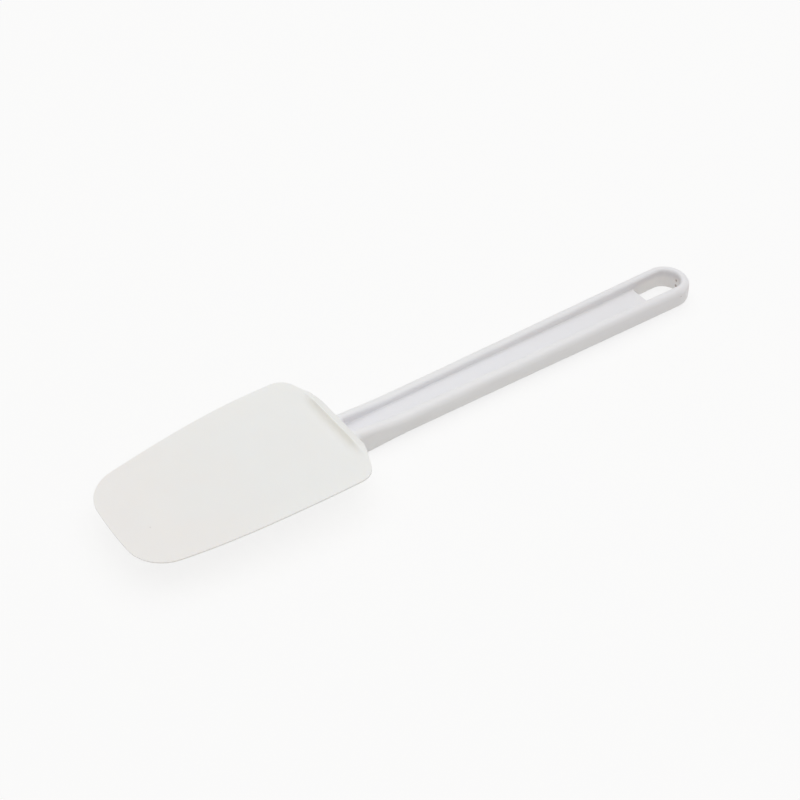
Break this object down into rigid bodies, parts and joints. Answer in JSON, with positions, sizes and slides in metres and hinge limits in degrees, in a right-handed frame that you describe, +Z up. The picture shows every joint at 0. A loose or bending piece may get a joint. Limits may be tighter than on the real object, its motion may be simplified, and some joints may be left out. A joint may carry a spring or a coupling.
{
  "type": "silicone spatula",
  "caption": "Spoon-shaped silicone scraping blade pushed onto the flat tang of a ribbed plastic handle with a hanging hole; for scraping and scooping out of bowls.",
  "frame": {"origin": "middle of the footprint, on the surface that the spatula lies on, scooping face up", "axes": "+X from the blade's tip to the hanging end, +Y across the blade, +Z up out of the scooping face"},
  "size_m": [0.254, 0.0604, 0.0164],
  "materials": {
    "handle_plastic": "white moulded polypropylene, satin",
    "blade_silicone": "warm off-white moulded silicone, matte"
  },
  "bodies": {
    "handle": {"handle": "handle_plastic"},
    "blade": {"blade": "blade_silicone"}
  },
  "joints": [
    {"name": "blade_pull_off", "type": "slide", "parent": "handle", "child": "blade", "axis": [-1, 0, 0], "range_m": [0, 0.045]}
  ]
}
